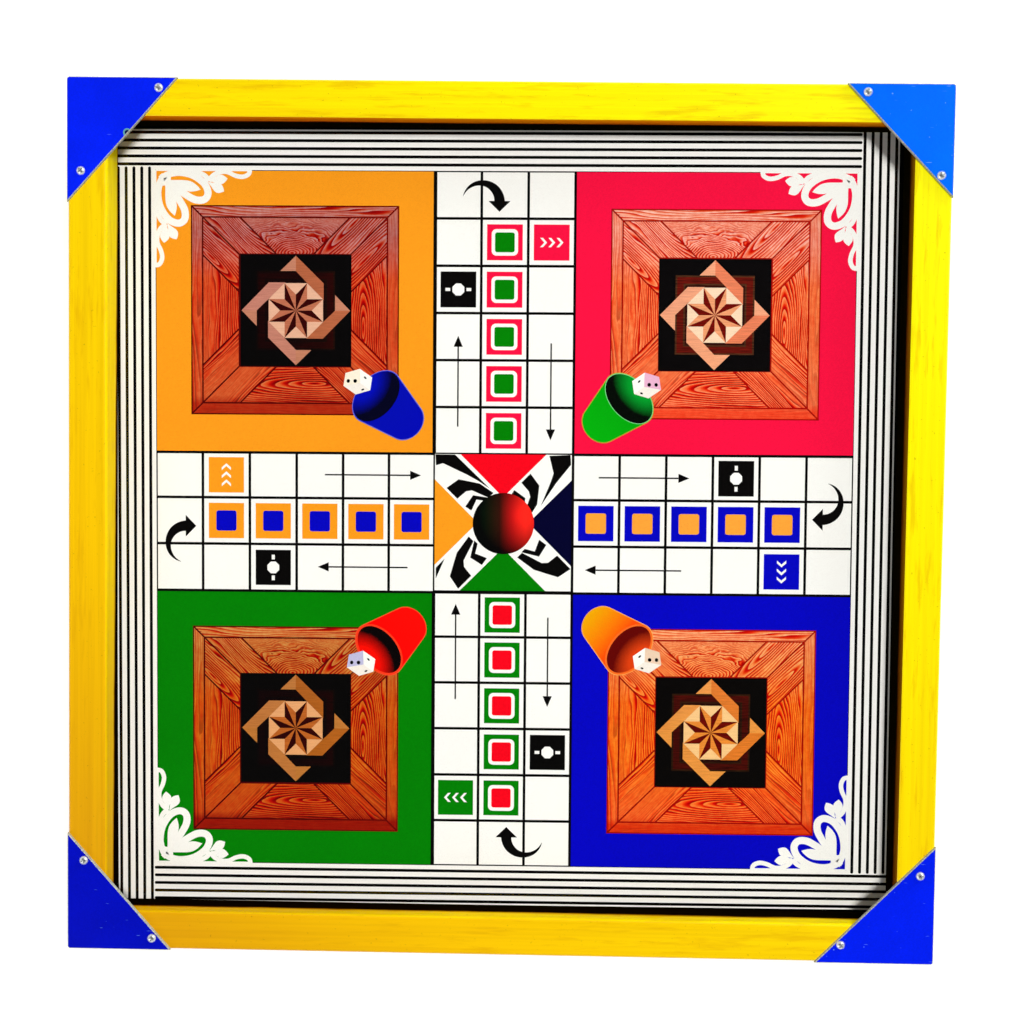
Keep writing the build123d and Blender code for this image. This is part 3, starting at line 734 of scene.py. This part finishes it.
def brushed_enamel(name, grain, run, taper, wall, gloss):
    """Yellow enamel, brushed by hand on planed pine: lines and bands along the rail, dull ochre patches and a
    few specks of dust. The yellow is more orange to the front and left, a painted light falloff where the
    light was weaker. It runs down into the well by a depth and ends in a ragged brown edge on black. The
    taper is what the run gains over each millimetre towards the back. The wall's tint paints light and shade
    on the yellow there: it lifts the front and left walls as painted light and darkens the back and right
    walls to brown as painted shade. The wood is bare inside the case and under the board."""
    material, add, place = begin(name)
    brush, band, smear = (  # each noise by the length and width of its marks
        stretched(add, place, [long if axis == grain else wide for axis in "xyz"], detail, roughness)
        for long, wide, detail, roughness in ((150, 1.6, 3.0, 0.6), (420, 7, 1.0, 0.5), (40, 4, 3.0, 0.6)))
    dust = add("TexNoise", Vector=place, Scale=per(1.6), Detail=1.0)
    out, parts = from_middle(add, place)

    # painted light falloff: the yellow turns more orange towards the front and left, where the light was
    # weaker
    painted_falloff_way = add("Math", "ADD", parts["X"], parts["Y"])
    painted_falloff_way = add("Math", "MULTIPLY_ADD", painted_falloff_way, 1 / (4 * half * MM), 0.5)
    yellow = add("ValToRGB", painted_falloff_way, stops=[
        (0.08, linear("#E6A600")), (0.25, linear("#FAC600")), (0.42, linear("#FCD400")),
        (0.60, linear("#FEE000")), (0.75, linear("#FFF000")), (0.92, linear("#FFF800"))])
    streaks = add("Math", "MULTIPLY", brush, 0.55)
    streaks = add("Math", "MULTIPLY_ADD", band, 0.45, streaks)
    streaks = add("ValToRGB", streaks, stops=[(0.34, (0.90, 0.86, 0.78, 1)), (0.62, WHITE)])
    yellow = add("MixRGB", "MULTIPLY", 1.0, yellow, streaks)
    patch = add("ValToRGB", smear, stops=[(0.32, grey(0.4)), (0.46, BLACK)])
    yellow = add("MixRGB", patch, yellow, linear("#DCA000"))
    speck = add("Math", "GREATER_THAN", dust, 0.76)
    speck = add("Math", "MULTIPLY", speck, 0.35)
    yellow = add("MixRGB", speck, yellow, linear("#6B4410"))

    depth = add("Math", "SUBTRACT", rim_top * MM, parts["Z"])
    reach = add("Math", "MULTIPLY_ADD", parts["Y"], taper, (run - 2) * MM)
    reach = add("Math", "MULTIPLY_ADD", smear, 4 * MM, reach)
    past = add("Math", "SUBTRACT", depth, reach)
    past = add("Math", "MULTIPLY_ADD", past, per(5), 0.5)
    # the wall tint is painted light on the front and left walls and painted shade on the back and right walls
    fall = add("ValToRGB", past, stops=[
        (0.0, (*wall, 1)), (0.45, (0.62 * wall[0], 0.40 * wall[1], 0.3 * wall[2], 1)),
        (0.75, (0.05, 0.018, 0.01, 1)), (1.0, (0.004, 0.003, 0.002, 1))])
    in_well = add("Math", "LESS_THAN", out, (inner + 1.2) * MM)
    fallen = add("MixRGB", "MULTIPLY", 1.0, yellow, fall)
    coat = add("MixRGB", in_well, yellow, fallen)
    dull = add("ValToRGB", past, stops=[(0.3, grey(1 - gloss)), (0.6, WHITE)])
    dull = add("Math", "MULTIPLY", dull, in_well)

    rings = add("Math", "MULTIPLY", brush, 9.0)
    rings = add("Math", "FRACT", rings)
    pine = add("ValToRGB", rings, stops=[
        (0.0, linear("#C79A62")), (0.7, linear("#E0BC86")), (0.92, linear("#A8743E"))])
    below = add("Math", "LESS_THAN", parts["Z"], panel_low * MM)
    inward = add("Math", "LESS_THAN", out, (inner + 0.2) * MM)
    bare = add("Math", "MULTIPLY", below, inward)
    colour = add("MixRGB", bare, coat, pine)

    dull = add("Math", "MAXIMUM", dull, bare)
    shine = add("Math", "SUBTRACT", 1.0, dull)
    bump = add("Bump", Height=brush, Strength=0.25, Distance=0.12 * MM)
    add("OutputMaterial", add(
        "BsdfPrincipled", Base_Color=colour, Roughness=0.6, Normal=bump, Specular_IOR_Level=0.0,
        Coat_Weight=shine, Coat_Roughness=0.22, Coat_Normal=bump))
    return material


def oiled_plywood():
    """Rotary-cut birch ply, sanded and oiled: wide pale figure along x with fine streaks."""
    material, add, place = begin("oiled_birch_plywood")
    figure = stretched(add, place, (300, 22, 22), 3.0, distortion=0.6)
    streak = stretched(add, place, (30, 0.8, 0.8), 2.0)
    wave = add("Math", "MULTIPLY", figure, 7.0)
    wave = add("Math", "FRACT", wave)
    wave = add("Math", "MULTIPLY_ADD", streak, 0.5, wave)
    tone = add("ValToRGB", wave, stops=[
        (0.1, linear("#B98A58")), (0.7, linear("#CDA271")), (1.0, linear("#DDB98A"))])
    add("OutputMaterial", add("BsdfPrincipled", Base_Color=tone, Roughness=0.55))
    return material


def float_glass():
    """Clear float glass: it lets light through and only its gloss shows."""
    material, add, _ = begin("clear_float_glass")
    clear = add("BsdfTransparent", Color=(0.995, 0.998, 0.996, 1))
    gloss = add("BsdfGlossy", Roughness=0.02, Color=WHITE)
    facing = add("Fresnel", IOR=1.45)
    inside = add("NewGeometry").outputs["Backfacing"]
    outside = add("Math", "SUBTRACT", 1.0, inside)
    shine = add("Math", "MULTIPLY", facing, outside)
    add("OutputMaterial", add("MixShader", shine, clear, gloss))
    return material


def blue_laminate(name, code, wear, hole):
    """High-pressure laminate with a pale sawn core: gloss blue with a few pale ticks and hairline scratches,
    and the core bare along every edge. The wear is how many marks show, from none at 0 to many at 1. One
    plate was cut through an old screw hole, which keeps its pale rim; the hole is drawn in colour, its dark
    inside painted shade."""
    material, add, place = begin(name)
    broad = add("TexNoise", Vector=place, Scale=per(45), Detail=2.0)
    fine = add("TexNoise", Vector=place, Scale=per(1.1), Detail=1.0)
    both = add("Math", "MULTIPLY", fine, 0.35)
    both = add("Math", "MULTIPLY_ADD", broad, 0.65, both)
    blue = add("ValToRGB", both, stops=[(0.35, linear(code, 0.88)), (0.65, linear(code, 1.12))])
    scratch = stretched(add, place, (12, 0.8, 9), 1.0, turned=0.9)
    shown = 0.80 - 0.05 * wear  # the noise above which a mark shows
    scratch = add("ValToRGB", scratch, stops=[(shown, BLACK), (shown + 0.03, WHITE)])
    nick = add("TexNoise", Vector=place, Scale=per(2.6), Detail=1.0)
    nick = add("ValToRGB", nick, stops=[(shown, BLACK), (shown + 0.03, WHITE)])
    mark = add("Math", "MAXIMUM", scratch, nick)
    mark = add("Math", "MULTIPLY", mark, 0.5)
    face = add("MixRGB", mark, blue, linear("#8CC4FF"))
    if hole:
        middle = (hole[0] * MM, hole[1] * MM, plate_top * MM)
        away = add("VectorMath", "DISTANCE", place, middle).outputs["Value"]
        rim = add("Math", "COMPARE", away, 2.3 * MM, 0.6 * MM)
        face = add("MixRGB", rim, face, linear("#5E9AA0"))
        # the hole's dark inside: painted shade
        inside = add("Math", "LESS_THAN", away, 1.7 * MM)
        face = add("MixRGB", inside, face, linear("#0A1040"))
    lean = add("SeparateXYZ", add("NewGeometry").outputs["Normal"]).outputs["Z"]
    edge_on = add("Math", "LESS_THAN", lean, 0.95)
    fibre = add("TexNoise", Vector=place, Scale=per(0.9), Detail=3.0)
    core = add("ValToRGB", fibre, stops=[(0.3, linear("#7C8478")), (0.7, linear("#D0D2C4"))])
    colour = add("MixRGB", edge_on, face, core)
    rough = add("Math", "MULTIPLY_ADD", edge_on, 0.45, 0.22)
    add("OutputMaterial", add("BsdfPrincipled", Base_Color=colour, Roughness=rough, Specular_IOR_Level=0.2))
    return material


def worked_metal(name, dark, light, roughness, brushing, stain=None):
    """Bare or plated metal: polishing lines a few tenths of a millimetre apart, drawn coarser than
    life so that they show, with duller patches where it was handled."""
    material, add, place = begin(name)
    polish = stretched(add, place, brushing, 2.0)
    dull = add("TexNoise", Vector=place, Scale=per(9), Detail=3.0)
    tone = add("ValToRGB", polish, stops=[(0.3, linear(dark)), (0.7, linear(light))])
    if stain:
        worn = add("ValToRGB", dull, stops=[(0.55, BLACK), (0.9, grey(0.3))])
        tone = add("MixRGB", worn, tone, linear(stain))
    rough = add("Math", "MULTIPLY_ADD", dull, 0.22, roughness - 0.11)
    bump = add("Bump", Height=polish, Strength=0.15, Distance=0.03 * MM)
    add("OutputMaterial", add("BsdfPrincipled", Base_Color=tone, Metallic=1.0, Roughness=rough, Normal=bump))
    return material


def moulded_rubber():
    """Black rubber from a matt mould, with a little dust in its grain."""
    material, add, place = begin("moulded_black_rubber")
    grain = add("TexNoise", Vector=place, Scale=per(0.8), Detail=2.0)
    tone = add("ValToRGB", grain, stops=[(0.4, linear("#141312")), (0.75, linear("#34312E"))])
    bump = add("Bump", Height=grain, Strength=0.3, Distance=0.1 * MM)
    add("OutputMaterial", add("BsdfPrincipled", Base_Color=tone, Roughness=0.75, Normal=bump))
    return material


zinc = worked_metal("zinc_plated_steel", "#D6DADA", "#FAFCFC", 0.30, (2.0, 0.5, 2.0))
brass = worked_metal("lacquered_brass", "#D2A858", "#E6C476", 0.26, (9.0, 0.4, 0.4), stain="#9A7434")
wire = worked_metal("drawn_steel_wire", "#6E6A64", "#A9A59C", 0.45, (0.5, 0.5, 4.0))
rubber = moulded_rubber()
plywood = oiled_plywood()


def dress(material, *nodes):
    """Gives CAD nodes a material."""
    for node in nodes:
        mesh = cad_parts[node].data
        mesh.materials.clear()
        mesh.materials.append(material)


rails = {  # the way the grain runs, how far the yellow runs into the well, its taper, the wall's tint and gloss; the tint is painted light on the front and left walls and painted shade on the back and right
    "front": ("x", 11.5, 0.0, (1, 1.18, 1), 0.12), "back": ("x", 8.6, 0.0, (0.62, 0.22, 0.1), 0.0),
    "left": ("y", 21.5, 0.02, (1, 1.18, 1), 0.12), "right": ("y", 6.4, 0.0, (0.20, 0.09, 0.05), 0.0)}
for side, coat in rails.items():
    dress(brushed_enamel(f"brushed_yellow_enamel_{side}", *coat), f"board_rail_{side}", f"case_rail_{side}")
for part in ("board", "case"):
    dress(brass, f"hinge_leaf_{part}_left", f"hinge_leaf_{part}_right")
    dress(wire, f"{part}_frame_brads")
dress(plywood, "board_panel", "case_floor")
dress(float_glass(), "cover_glass")
dress(wire, "case_floor_brads")
dress(brass, "hinge_pin_left", "hinge_pin_right", "catch_hook_left", "catch_hook_right", "catch_washers")
dress(rubber, *(f"foot_{corner}" for corner in quadrants))
plates = {  # colour, wear, an old screw hole, and how far in its two screws are from the box's sides; the blues carry painted light, lighter at the back right and darker at the front left
    "back_left": ("#0420EC", 0.2, (-263.0, 267.0), ((63.7, 7.2), (9.7, 64.3))),
    "back_right": ("#0066FA", 1.0, None, ((59.8, 6.0), (8.5, 62.0))),
    "front_left": ("#000AB8", 0.5, None, ((59.9, 8.3), (11.6, 63.2))),
    "front_right": ("#021EE8", 0.7, None, ((64.8, 12.8), (10.4, 62.7)))}
for corner, (*look, _) in plates.items():
    dress(blue_laminate(f"blue_laminate_{corner}", *look), f"corner_plate_{corner}")


# Screws, in full: a turned outline whose head is cut for the driver
def dome(radius, foot, height, steps=14):
    """The outline of a domed head from its top to its edge: an arc through both."""
    ball = (radius**2 + height**2) / (2 * height)
    r = np.sin(np.linspace(0.02, 1, steps) * np.pi / 2) * radius
    return np.column_stack([r, foot + height - ball + np.sqrt(ball**2 - r**2)])


def screw(top, rest, bars=(), depth=0.0, steps=96, slope=0.2):
    """A screw about z: its top and the rest down to its tip, as radii and heights, turned in steps.
    Inside bars through the axis, each of a length and a width, the top is lower by a depth, and the
    bars' walls slope."""
    outline = np.vstack([top, rest])
    t = np.linspace(0, 2 * np.pi, steps, endpoint=False)
    r, z = outline.T[:, :, None] * np.ones(steps)
    x, y = r * np.cos(t), r * np.sin(t)
    cut = np.zeros_like(x)
    for length, width in bars:
        inside = np.minimum(length / 2 - abs(x), width / 2 - abs(y)) / slope
        cut = np.maximum(cut, np.clip(inside, 0, 1))
    cut[len(top):] = 0
    points = np.stack([x, y, z - depth * cut], axis=2).reshape(-1, 3)
    points = np.vstack([points, (0, 0, outline[0, 1] - depth), (0, 0, outline[-1, 1])])
    i = np.arange(steps)
    j = np.roll(i, -1)
    bands = [np.column_stack([a + i, a + steps + i, a + steps + j, a + j])
             for a in range(0, (len(outline) - 1) * steps, steps)]
    top, tip, last = len(points) - 2, len(points) - 1, (len(outline) - 1) * steps
    faces = np.vstack(bands).tolist()
    faces += [[top, a, b] for a, b in zip(i.tolist(), j.tolist())]
    faces += [[tip, last + b, last + a] for a, b in zip(i.tolist(), j.tolist())]
    return points, faces


def set_screws(name, shape, places, facing, material, body, slot):
    """Copies of a screw at places on a surface, heads out along the way that it faces, each turned
    on its axis by 51 degrees more than the one before."""
    points, faces = shape
    out = np.array(facing, float)
    side = np.cross(out, (0, 0, 1) if out[2] == 0 else (0, 1, 0))
    axes = np.array([side, np.cross(out, side), out])
    everything, rows = [], []
    for k, place in enumerate(places):
        spun = points.copy()
        spun[:, :2] = turn(points[:, :2], k * 51 / 90)
        everything.append(spun @ axes + place)
        rows += [[corner + k * len(points) for corner in face] for face in faces]
    piece = mesh_piece(name, np.vstack(everything), rows, material, body, slot, smooth_faces=True)
    piece.data.set_sharp_from_angle(angle=np.radians(35))
    return piece


# Pan heads with a cross, countersunk heads with a cross, and the hooks' domed heads over a bare neck,
# one slotted and one plain with a collar under the hook
plate_screw = screw(dome(3.2, 0, 2.1), [(3.2, -0.01), (1.75, -0.02), (1.75, -12.5), (0.4, -16)],
                    [(3.6, 0.8), (0.8, 3.6)], 0.8)
flat_top = np.column_stack([np.linspace(0.05, 2.85, 12), np.zeros(12)])
hinge_screw = screw(flat_top, [(2.85, -0.05), (1.4, -1.5), (1.4, -10.5), (0.3, -13)],
                    [(3.4, 0.8), (0.8, 3.4)], 0.9)
hook_head = dome(4.2, 3.6, 3.2)
pivot = screw(hook_head, [(4.2, 3.6), (1.5, 3.58), (1.5, -11.5), (0.4, -14)], [(20.0, 1.1)], 1.2)
stud = screw(hook_head, [(4.2, 3.6), (1.5, 3.58), (1.5, 1.4), (5.0, 1.38), (5.0, 0.02), (1.5, 0.0),
                         (1.5, -11.5), (0.4, -14)])

plate_places = [(x * (half - a), y * (half - b), plate_top)
                for corner, (x, y) in quadrants.items() for a, b in plates[corner][-1]]
heads = set_screws("corner_plate_screw_heads", plate_screw, plate_places, (0, 0, 1), zinc, "board", "steel")
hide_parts("corner_plate_screws")
leaf_face = edge("hinge_screws_board", 1, "y")
hinge_x, screw_run = 190, 18  # the hinges and hooks from the middle, and a leaf's screws from its own
hinge_runs = [x + run for x in (-hinge_x, hinge_x) for run in (-screw_run, screw_run)]
for part, z in (("board", 70.15), ("case", 42.15)):
    heads = set_screws(f"hinge_screw_heads_{part}", hinge_screw, [(x, leaf_face, z) for x in hinge_runs],
                       (0, 1, 0), brass, part, "brass")
    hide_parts(f"hinge_screws_{part}")
for name, shape, z, part, node in (("catch_pivot_heads", pivot, 42.0, "case", "catch_pivot_screws"),
                                   ("catch_stud_heads", stud, 68.3, "board", "catch_studs")):
    heads = set_screws(name, shape, [(-hinge_x, -half, z), (hinge_x, -half, z)], (0, -1, 0), brass, part,
                       "brass")
    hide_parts(node)


# Floor, lights and camera
def looked_at(add):
    """1 for a ray from the camera, straight or by way of gloss or glass, and 0 for one that lights."""
    path = add("LightPath").outputs
    shown = add("Math", "MAXIMUM", path["Is Camera Ray"], path["Is Glossy Ray"])
    return add("Math", "MAXIMUM", shown, path["Is Transmission Ray"])


pale_floor, add, place = begin("pale_floor")
grain = add("TexNoise", Vector=place, Scale=per(3), Detail=3.0)
pale = add("ValToRGB", grain, stops=[(0.3, linear("#F8F8F8")), (0.7, linear("#FFFFFF"))])
matt = add("BsdfDiffuse", Color=pale)
lift = add("Emission", Color=WHITE, Strength=0.12)
white = add("Emission", Color=WHITE, Strength=1.0)
far = add("VectorMath", "LENGTH", place).outputs["Value"]
far = add("Math", "MULTIPLY", far, 1 / 4)
far = add("ValToRGB", far, stops=[(0.2, BLACK), (0.75, WHITE)])
seen = add("MixShader", far, add("AddShader", matt, lift), white)
add("OutputMaterial", add("MixShader", looked_at(add), matt, seen))
floor_mesh = bpy.data.meshes.new("floor")
reach = 30.0
floor_mesh.from_pydata([(-reach, -reach, 0), (reach, -reach, 0), (reach, reach, 0), (-reach, reach, 0)],
                       [], [(0, 1, 2, 3)])
floor_mesh.materials.append(pale_floor)
floor = put("floor", floor_mesh)

world = bpy.data.worlds.new("room")
bpy.context.scene.world = world
world.use_nodes = True
world.node_tree.nodes.clear()
add = partial(add_node, world.node_tree)
up = add("SeparateXYZ", add("TexCoord").outputs["Generated"]).outputs["Z"]
sky = add("ValToRGB", up, stops=[
    (0.0, WHITE), (0.25, (0.85, 0.85, 0.86, 1)), (0.72, (0.35, 0.35, 0.36, 1)),
    (0.94, (0.04, 0.04, 0.045, 1))])
strength = add("Math", "MULTIPLY_ADD", looked_at(add), 0.45, 0.55)
add("OutputWorld", add("Background", sky, strength))


def lamp(name, place, size, power, in_gloss=True, lights=True):
    """A square white soft box that looks at the board. Two stay out of the reflections, so that the
    glass is clear, and one shows only in them, for the metal and the gloss."""
    light = bpy.data.lights.new(name, "AREA")
    light.shape, light.size, light.energy = "SQUARE", size, power
    box = put(name, light)
    box.location = place
    box.visible_glossy, box.visible_diffuse = in_gloss, lights
    box.rotation_euler = (Vector((0, 0, 0.1)) - Vector(place)).to_track_quat("-Z", "Y").to_euler()


lamp("overhead", (0.95, 0.95, 5.0), 0.8, 194, in_gloss=False)
lamp("key", (2.1, 2.1, 0.82), 1.0, 42, in_gloss=False)
lamp("fill", (-1.7, -1.5, 1.7), 1.2, 12)
lamp("sheen", (1.8, 1.55, 1.75), 2.6, 30, lights=False)

# The camera looks straight down from over the middle, a little back and turned by half a degree
camera_data = bpy.data.cameras.new("camera")
camera_data.sensor_fit = "HORIZONTAL"
camera_data.sensor_width = 36.0
camera_data.lens = 1500 / 1015 * camera_data.sensor_width  # 1500 pixels in a picture 1015 wide
camera = put("camera", camera_data)
camera.location = (0.0223, 0.0579, rim_top * MM + 1.0434)
camera.rotation_euler = tuple(np.radians((-2.699, 1.113, 0.742)))
bpy.context.scene.camera = camera
bpy.context.scene.view_settings.view_transform = "Standard"
